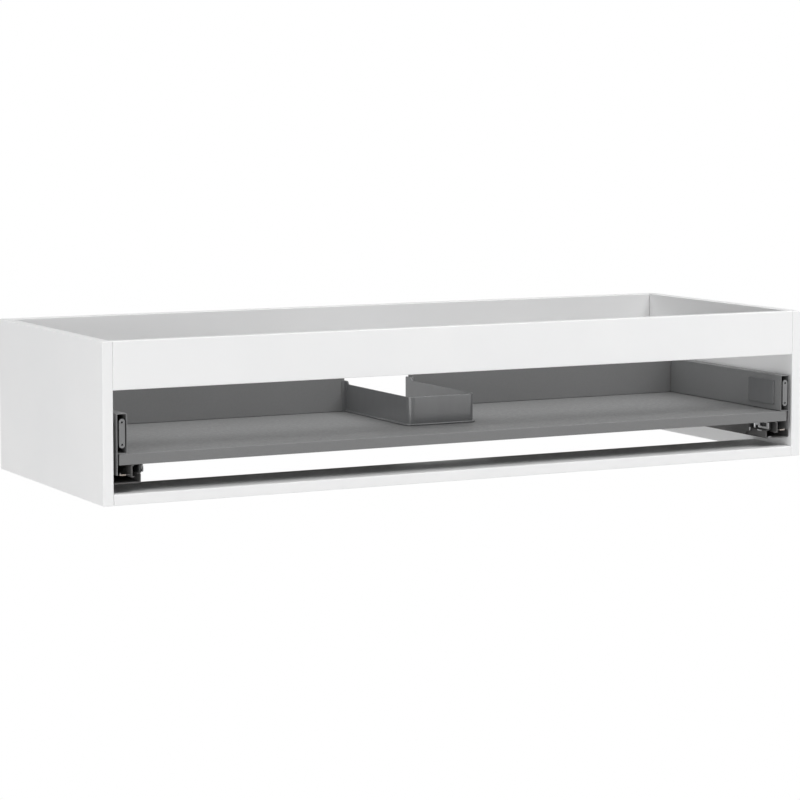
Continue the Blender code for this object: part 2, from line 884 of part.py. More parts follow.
def middle_rail(side, sign):
    """The travelling rail: a tray on the lower rollers with an upright flange for the upper ones."""
    tray = sheet(
        [
            (TRAY_S[0], TRAY_OUTER_TOP),
            (TRAY_S[0], TRAY_Z),
            (TRAY_S[1], TRAY_Z),
            (TRAY_S[1], TRAY_INNER_TOP),
        ],
        MIDDLE_SHEET,
        1.6,
    )
    upright = sheet(
        [(UPRIGHT_S, TRAY_Z - OVERLAP), (UPRIGHT_S, UPRIGHT_TOP), (UPRIGHT_REACH, UPRIGHT_TOP)],
        MIDDLE_SHEET,
        1.2,
    )
    rail = extruded(
        f"middle_rail_{side}", mirrored(sign, tray), "front", MIDDLE_RAIL, BLACK_STEEL
    )
    flange = extruded(
        f"middle_rail_upright_{side}",
        mirrored(sign, upright),
        "front",
        MIDDLE_RAIL,
        None,
        CUTTERS,
    )
    join(rail, flange)
    x = across(sign, sum(TRAY_S) / 2)
    return attach(rail, joint_empty(f"middle_rail_slide_{side}", x, MIDDLE_RAIL[0], TRAY_Z))


def drawer_rail(side, sign, carriage):
    """The rail under the drawer floor: a web, a top, a skirt over the cabinet rail's lip, and a hook under
    the middle rail's flange. At its front end it has a guide tab and a small foot."""
    half = RAIL_SHEET / 2
    top = FLOOR_BOTTOM - GAP - half
    outline = sheet(
        [(WEB_S, WEB_BOTTOM), (WEB_S, top), (SKIRT_S, top), (SKIRT_S, SKIRT_BOTTOM)],
        RAIL_SHEET,
        1.4,
    )
    rail = extruded(
        f"drawer_rail_{side}", mirrored(sign, outline), "front", DRAWER_RAIL, BLACK_STEEL
    )
    front_notch = helper_box(
        f"drawer_rail_notch_{side}",
        (across(sign, WEB_S + 2 * RAIL_SHEET), across(sign, SKIRT_S + 2 * RAIL_SHEET)),
        (DRAWER_RAIL[0] - 1, SKIRT_FRONT),
        (SKIRT_BOTTOM - 1, FLOOR_BOTTOM),
    )
    corner = extruded(
        f"drawer_rail_corner_{side}",
        [
            (SKIRT_FRONT - 1, SKIRT_CORNER[1]),
            (SKIRT_FRONT - 1, SKIRT_BOTTOM - 1),
            (SKIRT_CORNER[0], SKIRT_BOTTOM - 1),
            (SKIRT_CORNER[0] - 2.5, SKIRT_BOTTOM + 3.0),
            (SKIRT_CORNER[0] - 7.0, SKIRT_CORNER[1] - 1.2),
        ],
        "side",
        (across(sign, SKIRT_S - RAIL_SHEET), across(sign, SKIRT_S + RAIL_SHEET)),
        None,
        CUTTERS,
    )
    cut(rail, front_notch, corner)

    hook = sheet(
        [(HOOK_S, top + half / 2), (HOOK_S, HOOK_Z), (HOOK_REACH, HOOK_Z)], RAIL_SHEET, 1.4
    )
    tab = sheet([(TAB_S[1], TAB_Z), (TAB_S[0], TAB_Z), (TAB_S[0], TAB_TOP)], MIDDLE_SHEET, 1.0)
    arm = block_outline((TAB_S[1] - 2.0, WEB_S), (TAB_Z - 0.5, TAB_Z + 0.5))
    foot = block_outline((WEB_S, FOOT_REACH), (WEB_BOTTOM - OVERLAP, WEB_BOTTOM + 1.1))
    added = {
        "hook": (hook, (HOOK_FRONT, DRAWER_RAIL[1] - 1)),
        "tab": (tab, TAB),
        "tab_arm": (arm, TAB_ARM),
        "foot": (foot, FOOT),
    }
    for name, (added_outline, ds) in added.items():
        helper = f"drawer_rail_{name}_{side}"
        join(rail, extruded(helper, mirrored(sign, added_outline), "front", ds, None, CUTTERS))
    attach(rail, carriage)


def roller_cage(name, sign, ds, ss, zs, windows, window_depth, count, travel_name):
    """A plastic strip with windows for the rollers. windows are the s ranges of each row."""
    cage = box(name, (across(sign, ss[0]), across(sign, ss[1])), ds, zs, WHITE_PLASTIC)
    pitch = (ds[1] - ds[0]) / count
    for row, (low, high) in enumerate(windows):
        for i in range(count):
            middle = ds[0] + pitch * (i + 0.5)
            cutter = helper_box(
                f"{name}_window_{row}_{i}",
                (across(sign, low), across(sign, high)),
                (middle - window_depth / 2, middle + window_depth / 2),
                (zs[0] - 2, zs[1] + 2),
            )
            cut(cage, cutter)
    x = across(sign, sum(ss) / 2)
    return attach(cage, joint_empty(travel_name, x, ds[0], sum(zs) / 2))


def roller_cages(side, sign):
    roller_cage(
        f"lower_roller_cage_{side}",
        sign,
        LOWER_CAGE,
        LOWER_CAGE_S,
        LOWER_CAGE_Z,
        LOWER_WINDOWS,
        LOWER_WINDOW_DEPTH,
        LOWER_WINDOW_COUNT,
        f"lower_cage_slide_{side}",
    )
    roller_cage(
        f"upper_roller_cage_{side}",
        sign,
        UPPER_CAGE,
        UPPER_CAGE_S,
        UPPER_CAGE_Z,
        UPPER_WINDOWS,
        UPPER_WINDOW_DEPTH,
        UPPER_WINDOW_COUNT,
        f"upper_cage_slide_{side}",
    )


def end_bumper(side, sign):
    """The rubber stop behind the middle rail."""
    bumper = box(
        f"end_bumper_{side}",
        (across(sign, BUMPER_S[0]), across(sign, BUMPER_S[1])),
        BUMPER,
        BUMPER_Z,
        RUBBER,
    )
    round_edges(bumper, 0.8)


def spring_points(x, ds, z, radius, turns, per_turn):
    """Points along a coil about Y."""
    steps = turns * per_turn
    for i in range(steps + 1):
        angle = 2 * math.pi * i / per_turn
        d = ds[0] + (ds[1] - ds[0]) * i / steps
        yield place(x + radius * math.cos(angle), d, z + radius * math.sin(angle))


def closing_spring(side, sign):
    """The coil spring in the soft-close unit."""
    curve = bpy.data.curves.new(f"closing_spring_{side}", "CURVE")
    curve.dimensions = "3D"
    curve.bevel_depth = SPRING_WIRE * MM
    curve.bevel_resolution = 1
    curve.use_fill_caps = True
    x = across(sign, SPRING_S)
    points = list(spring_points(x, SPRING, SPRING_Z, SPRING_RADIUS, SPRING_TURNS, 8))
    spline = curve.splines.new("POLY")
    spline.points.add(len(points) - 1)
    for target, point in zip(spline.points, points):
        target.co = (*point, 1.0)
    spring = bpy.data.objects.new(f"closing_spring_{side}", curve)
    CUTTERS.objects.link(spring)
    as_mesh(spring, ZINC, PARTS)


def soft_close_unit(side, sign, carriage):
    """Case, damper cylinder and spring on the cabinet rail, and the sliding catch with the damper's rod."""
    wall = CLOSER_WALL
    case = box(
        f"soft_close_case_{side}",
        (across(sign, CLOSER_S[0]), across(sign, CLOSER_S[1])),
        CLOSER,
        CLOSER_Z,
        DARK_PLASTIC,
    )
    hollow = helper_box(
        f"soft_close_hollow_{side}",
        (across(sign, CLOSER_S[0] + wall), across(sign, CLOSER_S[1] - wall)),
        (CLOSER[0] - 5, CLOSER[1] - wall),
        (CLOSER_Z[0] + wall, CLOSER_Z[1] - wall),
    )
    cut(case, hollow)

    axis_x = across(sign, DAMPER_S)
    cylinder = rod(
        f"damper_cylinder_{side}",
        (axis_x, sum(DAMPER) / 2, DAMPER_Z),
        "Y",
        DAMPER_RADIUS,
        DAMPER[1] - DAMPER[0],
        ZINC,
        segments=14,
    )
    bore_front = DAMPER[0] - 5
    bore = helper_rod(
        f"damper_bore_{side}",
        (axis_x, (bore_front + DAMPER_BORE_END) / 2, DAMPER_Z),
        "Y",
        DAMPER_BORE,
        DAMPER_BORE_END - bore_front,
        10,
    )
    cut(cylinder, bore)

    slide = joint_empty(
        f"closing_catch_slide_{side}", across(sign, sum(CATCH_S) / 2), CATCH[0], CATCH_Z[0]
    )
    catch_xs = (across(sign, CATCH_S[0]), across(sign, CATCH_S[1]))
    catch = box(f"closing_catch_{side}", catch_xs, CATCH, CATCH_Z, DARK_PLASTIC)
    jaw_zs = (CATCH_Z[1] - 2 * OVERLAP, JAW_TOP)
    jaws = [
        helper_box(f"catch_jaw_{side}_{i}", catch_xs, ds, jaw_zs) for i, ds in enumerate(JAWS)
    ]
    arm = helper_box(
        f"catch_arm_{side}",
        (across(sign, ARM_S[0]), across(sign, ARM_S[1])),
        ARM,
        (ARM_BOTTOM, JAW_TOP),
    )
    post = helper_box(
        f"catch_post_{side}", (across(sign, POST_S[0]), across(sign, POST_S[1])), ARM, jaw_zs
    )
    attach(join(catch, *jaws, post, arm), slide)
    damper_rod = rod(
        f"damper_rod_{side}",
        (axis_x, sum(DAMPER_ROD) / 2, DAMPER_Z),
        "Y",
        DAMPER_ROD_RADIUS,
        DAMPER_ROD[1] - DAMPER_ROD[0],
        ZINC,
        segments=8,
    )
    attach(damper_rod, slide)

    pin = rod(
        f"closing_pin_{side}",
        (across(sign, CLOSING_PIN_S), CLOSING_PIN_D, CLOSING_PIN_Z),
        "X",
        CLOSING_PIN_RADIUS,
        CLOSING_PIN_LENGTH,
        ZINC,
        segments=12,
    )
    attach(pin, carriage)


def release_catch(side, sign, carriage):
    """The catch under the front of the drawer: its housing, the release lever and the lever's pin."""
    outline = [
        (CATCH_HOUSING_S[0], CATCH_HOUSING[0]),
        (CATCH_HOUSING_S[1], CATCH_HOUSING[0]),
        (CATCH_HOUSING_S[1], LEVER_PIVOT_D - 2 * BARREL_RADIUS),
        (LEVER_S - BARREL_RADIUS - 2 * GAP, LEVER_PIVOT_D - BARREL_RADIUS),
        (LEVER_S - BARREL_RADIUS - 2 * GAP, CATCH_HOUSING_ARM[0]),
        (CATCH_HOUSING_ARM_S, CATCH_HOUSING_ARM[0]),
        (CATCH_HOUSING_ARM_S, CATCH_HOUSING_ARM[1]),
        (CATCH_HOUSING_S[0], CATCH_HOUSING_ARM[1]),
    ]
    top = FLOOR_BOTTOM - GAP
    housing = extruded(
        f"catch_housing_{side}",
        mirrored(sign, outline),
        "plan",
        (CATCH_HOUSING_BOTTOM, top),
        DARK_PLASTIC,
    )
    attach(housing, carriage)

    lever_x = across(sign, LEVER_S)
    pivot = joint_empty(f"release_lever_pivot_{side}", lever_x, LEVER_PIVOT_D, LEVER_BOTTOM)
    attach(pivot, carriage)
    span = (across(sign, LEVER_S - LEVER_SHEET / 2), across(sign, LEVER_S + LEVER_SHEET / 2))
    plate = [
        (LEVER[0], LEVER_BOTTOM + LEVER_CORNER / 2),
        (LEVER[0] + LEVER_CORNER / 2, LEVER_BOTTOM),
        (LEVER_FRAME_END, LEVER_BOTTOM),
        (LEVER_FRAME_END, LEVER_ARM_Z[0]),
        (LEVER[1], LEVER_ARM_Z[0]),
        (LEVER[1], LEVER_ARM_Z[1]),
        (LEVER_FRAME_END, LEVER_ARM_Z[1]),
        (LEVER_FRAME_END, LEVER_TOP),
        (LEVER[0] + LEVER_CORNER, LEVER_TOP),
        (LEVER[0], LEVER_TOP - LEVER_CORNER),
    ]
    lever = extruded(f"release_lever_{side}", plate, "side", span, ZINC)
    window = extruded(
        f"lever_window_{side}",
        block_outline(LEVER_WINDOW, LEVER_WINDOW_Z, 1.0),
        "side",
        (span[0] - sign * LEVER_SHEET, span[1] + sign * LEVER_SHEET),
        None,
        CUTTERS,
    )
    barrel_zs = (LEVER_BOTTOM + GAP, LEVER_TOP - OVERLAP)
    barrel = helper_rod(
        f"lever_barrel_{side}",
        (lever_x, LEVER_PIVOT_D, sum(barrel_zs) / 2),
        "Z",
        BARREL_RADIUS,
        barrel_zs[1] - barrel_zs[0],
    )
    eye = helper_rod(
        f"lever_eye_{side}",
        (lever_x, LEVER_PIVOT_D, sum(barrel_zs) / 2),
        "Z",
        LEVER_PIN_RADIUS + PIN_GAP,
        2 * (LEVER_TOP - LEVER_BOTTOM),
        12,
    )
    join(cut(lever, window), barrel)
    attach(cut(lever, eye), pivot)

    pin_bottom = LEVER_BOTTOM - GAP
    pin = rod(
        f"lever_pin_{side}",
        (lever_x, LEVER_PIVOT_D, (pin_bottom + top) / 2),
        "Z",
        LEVER_PIN_RADIUS,
        top - pin_bottom,
        ZINC,
        segments=12,
    )
    head_middle = pin_bottom - LEVER_PIN_HEAD_HEIGHT / 2 + OVERLAP
    head = helper_rod(
        f"lever_pin_head_{side}",
        (lever_x, LEVER_PIVOT_D, head_middle),
        "Z",
        LEVER_PIN_HEAD,
        LEVER_PIN_HEAD_HEIGHT,
    )
    attach(join(pin, head), carriage)


# ---------------------------------------------------------------- assembly


def main():
    side_panels()
    cross_rails()
    carriage = joint_empty("drawer_slide", 0, 0, FLOOR_BOTTOM)
    drawer_floor(carriage)
    drawer_backs(carriage)
    siphon_insert(carriage)
    for side, sign in SIDES:
        wall_hanger(side, sign)
        drawer_side(side, sign, carriage)
        front_bracket(side, sign, carriage)
        adjuster(side, sign, carriage)
        cover_cap(side, sign, carriage)
        rear_bracket(side, sign, carriage)
        cabinet_rail(side, sign)
        middle_rail(side, sign)
        drawer_rail(side, sign, carriage)
        roller_cages(side, sign)
        end_bumper(side, sign)
        closing_spring(side, sign)
        soft_close_unit(side, sign, carriage)
        release_catch(side, sign, carriage)


main()
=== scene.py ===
"""The looks of the washbasin cabinet with its drawer and slides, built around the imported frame.

Pieces near a side are placed by three distances in millimetres: s, inwards from the inner face of the
nearer side panel; d, back from the front plane; z, up from the cabinet's underside. Every such piece is
made once for each side by a loop.
"""

import json
import math

import bmesh
import bpy
from mathutils import Matrix, Vector

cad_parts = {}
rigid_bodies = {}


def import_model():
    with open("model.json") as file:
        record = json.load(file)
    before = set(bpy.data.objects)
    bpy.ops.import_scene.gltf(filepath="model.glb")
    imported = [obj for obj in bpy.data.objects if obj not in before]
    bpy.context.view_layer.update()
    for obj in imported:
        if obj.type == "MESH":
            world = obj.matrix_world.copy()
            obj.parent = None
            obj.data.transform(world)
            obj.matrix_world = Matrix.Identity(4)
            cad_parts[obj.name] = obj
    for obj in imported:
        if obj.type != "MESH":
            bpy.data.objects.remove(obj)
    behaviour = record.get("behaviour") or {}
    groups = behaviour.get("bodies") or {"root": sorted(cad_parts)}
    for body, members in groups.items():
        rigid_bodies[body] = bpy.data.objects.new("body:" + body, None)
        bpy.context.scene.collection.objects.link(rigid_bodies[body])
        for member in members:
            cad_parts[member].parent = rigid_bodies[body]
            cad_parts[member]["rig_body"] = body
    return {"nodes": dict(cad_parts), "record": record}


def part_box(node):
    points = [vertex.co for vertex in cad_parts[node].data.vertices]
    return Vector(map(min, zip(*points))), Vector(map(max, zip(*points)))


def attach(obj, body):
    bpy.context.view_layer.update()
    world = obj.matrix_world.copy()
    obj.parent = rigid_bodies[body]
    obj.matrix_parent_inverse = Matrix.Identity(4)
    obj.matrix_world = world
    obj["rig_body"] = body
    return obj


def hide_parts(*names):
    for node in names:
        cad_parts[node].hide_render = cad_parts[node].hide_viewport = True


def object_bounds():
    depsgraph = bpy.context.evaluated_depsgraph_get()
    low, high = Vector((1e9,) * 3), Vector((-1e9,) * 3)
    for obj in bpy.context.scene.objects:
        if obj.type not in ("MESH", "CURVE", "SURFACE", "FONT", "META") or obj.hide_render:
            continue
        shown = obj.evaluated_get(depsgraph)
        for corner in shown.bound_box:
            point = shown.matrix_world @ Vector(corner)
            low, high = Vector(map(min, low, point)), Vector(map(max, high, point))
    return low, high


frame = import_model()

CAD_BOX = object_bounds()
LOW, HIGH = Vector(CAD_BOX[0]), Vector(CAD_BOX[1])
SIDES = (("left", -1), ("right", 1))
MM = 0.001
SLOTS = {part["node"]: part["material_slot"] for part in frame["record"]["subparts"]}
PANEL_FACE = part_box("right_side_panel")[0].x

# Camera: beyond the cabinet's left front corner, looking slightly down. Distances in metres, lens in mm
CAMERA_FROM_LEFT = 1.376
CAMERA_FROM_FRONT = 3.579
CAMERA_HEIGHT = 0.5842
CAMERA_YAW = math.radians(-27.318)
CAMERA_TILT = math.radians(-4.775)
CAMERA_LENS = 122.236
CAMERA_SENSOR = 36.0
CAMERA_SHIFT = -0.1

# Floor: how far below the cabinet it is, its half width, its grey and its roughness
FLOOR_DROP = 0.75
FLOOR_HALF = 30.0
FLOOR_COLOUR = 0.76
FLOOR_ROUGHNESS = 0.9

# The room's light from level directions and from overhead, and the band of heights where one becomes
# the other. Directions behind the cabinet get a smaller share, with a band of its own front to back
WALL_LIGHT = 0.05
CEILING_LIGHT = 1.85
CEILING_BAND = (0.5, 0.66)
BACK_SHARE = 0.45
BACK_BAND = (-0.3, 0.3)

# Softboxes: name, bearing and elevation in degrees, distance, width and height in metres, radiance
SOFTBOXES = (
    ("key_softbox", 36, 46, 3.0, 1.2, 0.6, 8.0),
    ("front_softbox", 42, 2, 1.8, 1.6, 0.6, 0.6),
    ("left_softbox", -60, 1, 4.5, 3.4, 1.0, 4.5),
)


# ---------------------------------------------------------------- camera, floor and light


def make_camera():
    """A camera above the cabinet. Its tilt and its shift together place the cabinet in the picture."""
    data = bpy.data.cameras.new("camera")
    data.lens = CAMERA_LENS
    data.sensor_width = CAMERA_SENSOR
    data.shift_y = CAMERA_SHIFT
    camera = bpy.data.objects.new("camera", data)
    camera.location = (LOW.x - CAMERA_FROM_LEFT, LOW.y - CAMERA_FROM_FRONT, CAMERA_HEIGHT)
    camera.rotation_euler = (math.pi / 2 + CAMERA_TILT, 0, CAMERA_YAW)
    bpy.context.scene.collection.objects.link(camera)
    bpy.context.scene.camera = camera


def show_white(nodes, links, lit, white, output):
    """Makes a surface or a world plain white to the camera, and lit to every other ray."""
    white.inputs["Color"].default_value = (1, 1, 1, 1)
    seen = nodes.new("ShaderNodeLightPath").outputs["Is Camera Ray"]
    mix = nodes.new("ShaderNodeMixShader")
    links.new(seen, mix.inputs["Fac"])
    links.new(lit.outputs[0], mix.inputs[1])
    links.new(white.outputs[0], mix.inputs[2])
    links.new(mix.outputs[0], nodes[output].inputs["Surface"])


def make_floor():
    """A pale floor well below the wall-hung cabinet. It reads as plain white and throws light up at it."""
    bm = bmesh.new()
    bmesh.ops.create_grid(bm, x_segments=1, y_segments=1, size=FLOOR_HALF)
    mesh = bpy.data.meshes.new("floor")
    bm.to_mesh(mesh)
    bm.free()
    floor = bpy.data.objects.new("floor", mesh)
    floor.location = (0, 0, LOW.z - FLOOR_DROP)
    bpy.context.scene.collection.objects.link(floor)
    material = bpy.data.materials.new("pale_floor")
    material.use_nodes = True
    nodes, links = material.node_tree.nodes, material.node_tree.links
    shader = nodes["Principled BSDF"]
    shader.inputs["Base Color"].default_value = (FLOOR_COLOUR, FLOOR_COLOUR, FLOOR_COLOUR, 1)
    shader.inputs["Roughness"].default_value = FLOOR_ROUGHNESS
    shader.inputs["Specular IOR Level"].default_value = 0.0
    show_white(nodes, links, shader, nodes.new("ShaderNodeEmission"), "Material Output")
    mesh.materials.append(material)


def smooth_range(nodes, links, value, source, target):
    """A smooth step of a value from one range to another."""
    node = nodes.new("ShaderNodeMapRange")
    node.interpolation_type = "SMOOTHSTEP"
    links.new(value, node.inputs["Value"])
    node.inputs["From Min"].default_value, node.inputs["From Max"].default_value = source
    node.inputs["To Min"].default_value, node.inputs["To Max"].default_value = target
    return node.outputs["Result"]


def make_room():
    """A white room: a bright ceiling that fades towards the back, and walls that are dim near level."""
    world = bpy.data.worlds.new("studio")
    bpy.context.scene.world = world
    world.use_nodes = True
    nodes, links = world.node_tree.nodes, world.node_tree.links
    room = nodes["Background"]
    room.inputs["Color"].default_value = (1, 1, 1, 1)
    direction = nodes.new("ShaderNodeTexCoord").outputs["Generated"]
    axes = nodes.new("ShaderNodeSeparateXYZ")
    links.new(direction, axes.inputs[0])
    light_range = (WALL_LIGHT, CEILING_LIGHT)
    height = smooth_range(nodes, links, axes.outputs["Z"], CEILING_BAND, light_range)
    behind = smooth_range(nodes, links, axes.outputs["Y"], BACK_BAND, (1, BACK_SHARE))
    strength = nodes.new("ShaderNodeMath")
    strength.operation = "MULTIPLY"
    links.new(height, strength.inputs[0])
    links.new(behind, strength.inputs[1])
    links.new(strength.outputs[0], room.inputs["Strength"])
    show_white(nodes, links, room, nodes.new("ShaderNodeBackground"), "World Output")
    bpy.context.scene.view_settings.view_transform = "Standard"


def make_softbox(name, bearing, elevation, distance, width, height, radiance):
    """A softbox aimed at the middle of the cabinet. A bearing of 0 is in front, positive to the right."""
    data = bpy.data.lights.new(name, "AREA")
    data.shape = "RECTANGLE"
    data.size, data.size_y = width, height
    data.energy = radiance * width * height * math.pi
    light = bpy.data.objects.new(name, data)
    turn, lift = math.radians(bearing), math.radians(elevation)
    towards = Vector(
        (math.sin(turn) * math.cos(lift), -math.cos(turn) * math.cos(lift), math.sin(lift))
    )
    light.location = (LOW + HIGH) / 2 + towards * distance
    light.rotation_euler = towards.to_track_quat("Z", "Y").to_euler()
    light.visible_camera = False
    bpy.context.scene.collection.objects.link(light)


make_camera()
make_floor()
make_room()
for softbox in SOFTBOXES:
    make_softbox(*softbox)


# ---------------------------------------------------------------- materials


class Finish:
    """A Principled material, with short calls for the few nodes that every finish here is made of.

    Sizes of patterns and depths of relief are in millimetres.
    """

    def __init__(self, name, colour, roughness, metallic=0.0, **rest):
        self.material = bpy.data.materials.new(name)
        self.material.use_nodes = True
        self.nodes = self.material.node_tree.nodes
        self.links = self.material.node_tree.links
        self.shader = self.nodes["Principled BSDF"]
        self.coordinates = self.nodes.new("ShaderNodeTexCoord").outputs["Object"]
        self.height = None
        settings = {
            "Base Color": (*colour, 1),
            "Roughness": roughness,
            "Metallic": metallic,
            **{key.replace("_", " "): value for key, value in rest.items()},
        }
        for key, value in settings.items():
            self.shader.inputs[key].default_value = value

    def noise(self, size, detail=2.0, stretch=(1, 1, 1)):
        """Cloudy noise whose spots are about size across. A stretch below 1 draws them out."""
        mapping = self.nodes.new("ShaderNodeMapping")
        mapping.inputs["Scale"].default_value = stretch
        self.links.new(self.coordinates, mapping.inputs["Vector"])
        node = self.nodes.new("ShaderNodeTexNoise")
        node.inputs["Scale"].default_value = 1 / (size * MM)
        node.inputs["Detail"].default_value = detail
        self.links.new(mapping.outputs["Vector"], node.inputs["Vector"])
        return node.outputs["Fac"]

    def cells(self, size):
        """A random value for each crystal of about that size."""
        node = self.nodes.new("ShaderNodeTexVoronoi")
        node.inputs["Scale"].default_value = 1 / (size * MM)
        self.links.new(self.coordinates, node.inputs["Vector"])
        split = self.nodes.new("ShaderNodeSeparateColor")
        self.links.new(node.outputs["Color"], split.inputs[0])
        return split.outputs[0]

    def marked(self, name):
        """1 on the faces that a piece marks with that name, and 0 elsewhere."""
        mark = self.nodes.new("ShaderNodeAttribute")
        mark.attribute_name = name
        return mark.outputs["Fac"]

    def worn_edges(self, spots=5.0):
        """The rounded edges that the pieces mark, broken up into spots."""
        patches = self.between(self.noise(spots), 0.25, 1.0, (0.4, 0.6))
        return self.maths("MULTIPLY", self.marked("wear"), patches)

    def maths(self, operation, first, second):
        """One maths node. Either value may be a socket or a plain number."""
        node = self.nodes.new("ShaderNodeMath")
        node.operation = operation
        for socket, value in zip(node.inputs, (first, second)):
            if isinstance(value, (int, float)):
                socket.default_value = value
            else:
                self.links.new(value, socket)
        return node.outputs[0]

    def between(self, value, low, high, source=(0.3, 0.7)):
        """The value, with its source range made into low to high and cut off beyond it."""
        node = self.nodes.new("ShaderNodeMapRange")
        self.links.new(value, node.inputs["Value"])
        node.inputs["From Min"].default_value, node.inputs["From Max"].default_value = source
        node.inputs["To Min"].default_value = low
        node.inputs["To Max"].default_value = high
        return node.outputs["Result"]

    def mixed(self, factor, first, second):
        """Two colours mixed. Either may be a socket or a plain colour."""
        node = self.nodes.new("ShaderNodeMix")
        node.data_type = "RGBA"
        self.links.new(factor, node.inputs["Factor"])
        for socket, colour in ((node.inputs[6], first), (node.inputs[7], second)):
            if isinstance(colour, tuple):
                socket.default_value = (*colour, 1)
            else:
                self.links.new(colour, socket)
        return node.outputs[2]

    def relief(self, pattern, depth):
        """Adds a pattern to the surface's relief, with that depth."""
        raised = self.maths("MULTIPLY", pattern, depth * MM)
        self.height = self.maths("ADD", self.height, raised) if self.height else raised

    def done(self, colour, roughness):
        """Connects the colour, the roughness and the relief, and gives the material."""
        self.links.new(colour, self.shader.inputs["Base Color"])
        self.links.new(roughness, self.shader.inputs["Roughness"])
        bump = self.nodes.new("ShaderNodeBump")
        bump.inputs["Distance"].default_value = 1.0
        self.links.new(self.height, bump.inputs["Height"])
        self.links.new(bump.outputs[0], self.shader.inputs["Normal"])
        return self.material


def grey(level, tint=0.0):
    """A grey, bluish for a positive tint and warm for a negative one."""
    return (level * (1 - tint), level, level * (1 + tint))


# Each finish: the base shader, its patterns, the colours that they mix, the worn edges and the relief


def white_lacquer():
    """Sprayed gloss lacquer on board: an orange-peel skin, faint cloudiness and a few dust specks."""
    made = Finish("white_lacquer", grey(0.9), 0.3, Specular_IOR_Level=0.03)
    clouds = made.noise(220, 3)
    dust = made.between(made.noise(0.8, 0), 0, 1, (0.76, 0.8))
    made.relief(made.noise(2.4, 1), 0.001)
    made.relief(made.noise(70, 1), 0.003)
    made.relief(dust, 0.0008)
    colour = made.mixed(made.between(clouds, 0, 1), grey(0.915), grey(0.885, 0.004))
    colour = made.mixed(made.worn_edges(12), colour, grey(0.94))
    return made.done(colour, made.between(made.noise(35, 1), 0.29, 0.31, (0, 1)))


def grey_board():
    """Matt melamine facing with a pearl texture, and plain edging along its corners."""
    made = Finish("grey_board", grey(0.2), 0.5, Specular_IOR_Level=0.35)
    pearl = made.noise(0.9, 2)
    fibres = made.noise(2.2, 3, (1, 0.12, 1))
    colour = made.mixed(made.between(pearl, 0, 1), grey(0.196, 0.006), grey(0.222, 0.01))
    colour = made.mixed(made.between(made.noise(150, 2), 0, 0.35), colour, grey(0.185))
    colour = made.mixed(made.between(fibres, 0, 0.25), colour, grey(0.23))
    colour = made.mixed(made.worn_edges(9), colour, grey(0.25))
    # Painted shade: the board's underside is made near black, so little light bounces off it onto the
    # bottom rail below
    colour = made.mixed(made.marked("painted_shade_underside"), colour, grey(0.055))
    made.relief(pearl, 0.02)
    made.relief(fibres, 0.006)
    return made.done(colour, made.between(made.noise(5, 3), 0.42, 0.58))


def grey_steel():
    """Powder coat on sheet steel: a fine leathery skin that is thin and a little lighter on the edges."""
    made = Finish("grey_steel", grey(0.16), 0.45, Specular_IOR_Level=0.45)
    skin = made.noise(0.55, 2)
    colour = made.mixed(made.between(skin, 0, 1), grey(0.205, 0.012), grey(0.235, 0.016))
    colour = made.mixed(made.between(made.noise(90, 2), 0, 0.4), colour, grey(0.195))
    colour = made.mixed(made.worn_edges(6), colour, grey(0.27, 0.01))
    made.relief(skin, 0.016)
    made.relief(made.noise(2.5, 1), 0.01)
    return made.done(colour, made.between(made.noise(3, 3), 0.36, 0.52))


def grey_plastic():
    """Moulded plastic with a spark-eroded texture, faint flow marks and polished edges."""
    made = Finish("grey_plastic", grey(0.17), 0.16, Specular_IOR_Level=1.0)
    spark = made.noise(0.35, 2)
    flow = made.noise(14, 3, (1, 1, 0.25))
    colour = made.mixed(made.between(flow, 0, 1), grey(0.155, 0.02), grey(0.165, 0.02))
    colour = made.mixed(made.worn_edges(7), colour, grey(0.2, 0.015))
    made.relief(spark, 0.002)
    made.relief(flow, 0.001)
    return made.done(colour, made.between(made.noise(1.2, 3), 0.15, 0.2))


def zinc():
    """Zinc plate over rolled steel: small spangles, rolling lines and duller stains."""
    made = Finish("zinc", grey(0.5), 0.32, 1.0)
    spangle = made.cells(2.6)
    stains = made.noise(9, 4)
    lines = made.noise(0.5, 2, (1, 0.05, 1))
    colour = made.mixed(made.between(spangle, 0, 1, (0, 1)), grey(0.44, 0.02), grey(0.6, 0.03))
    colour = made.mixed(made.between(stains, 0, 0.5), colour, grey(0.38, -0.04))
    colour = made.mixed(made.worn_edges(3), colour, grey(0.72))
    made.relief(spangle, 0.0015)
    made.relief(lines, 0.002)
    return made.done(colour, made.between(stains, 0.24, 0.46))


def black_steel():
    """Blackened rolled steel: lines along the rail, oily patches and bare metal along its edges."""
    made = Finish("black_steel", grey(0.08), 0.4, Specular_IOR_Level=0.5)
    lines = made.noise(1.1, 3, (1, 0.02, 1))
    oil = made.noise(22, 4, (1, 0.35, 1))
    colour = made.mixed(made.between(lines, 0, 1), grey(0.1, -0.02), grey(0.135, -0.02))
    colour = made.mixed(made.between(oil, 0, 0.6), colour, grey(0.09))
    colour = made.mixed(made.worn_edges(4), colour, grey(0.16))
    made.relief(lines, 0.004)
    made.relief(made.noise(0.4, 2), 0.003)
    return made.done(colour, made.between(oil, 0.34, 0.56))


def dark_plastic():
    """Black moulded plastic with a fine texture and greyish handling marks."""
    made = Finish("dark_plastic", grey(0.03), 0.42)
    marks = made.noise(7, 4)
    colour = made.mixed(made.between(marks, 0, 1), grey(0.024, 0.03), grey(0.042, 0.02))
    colour = made.mixed(made.worn_edges(4), colour, grey(0.08))
    made.relief(made.noise(0.3, 2), 0.007)
    return made.done(colour, made.between(marks, 0.34, 0.55))


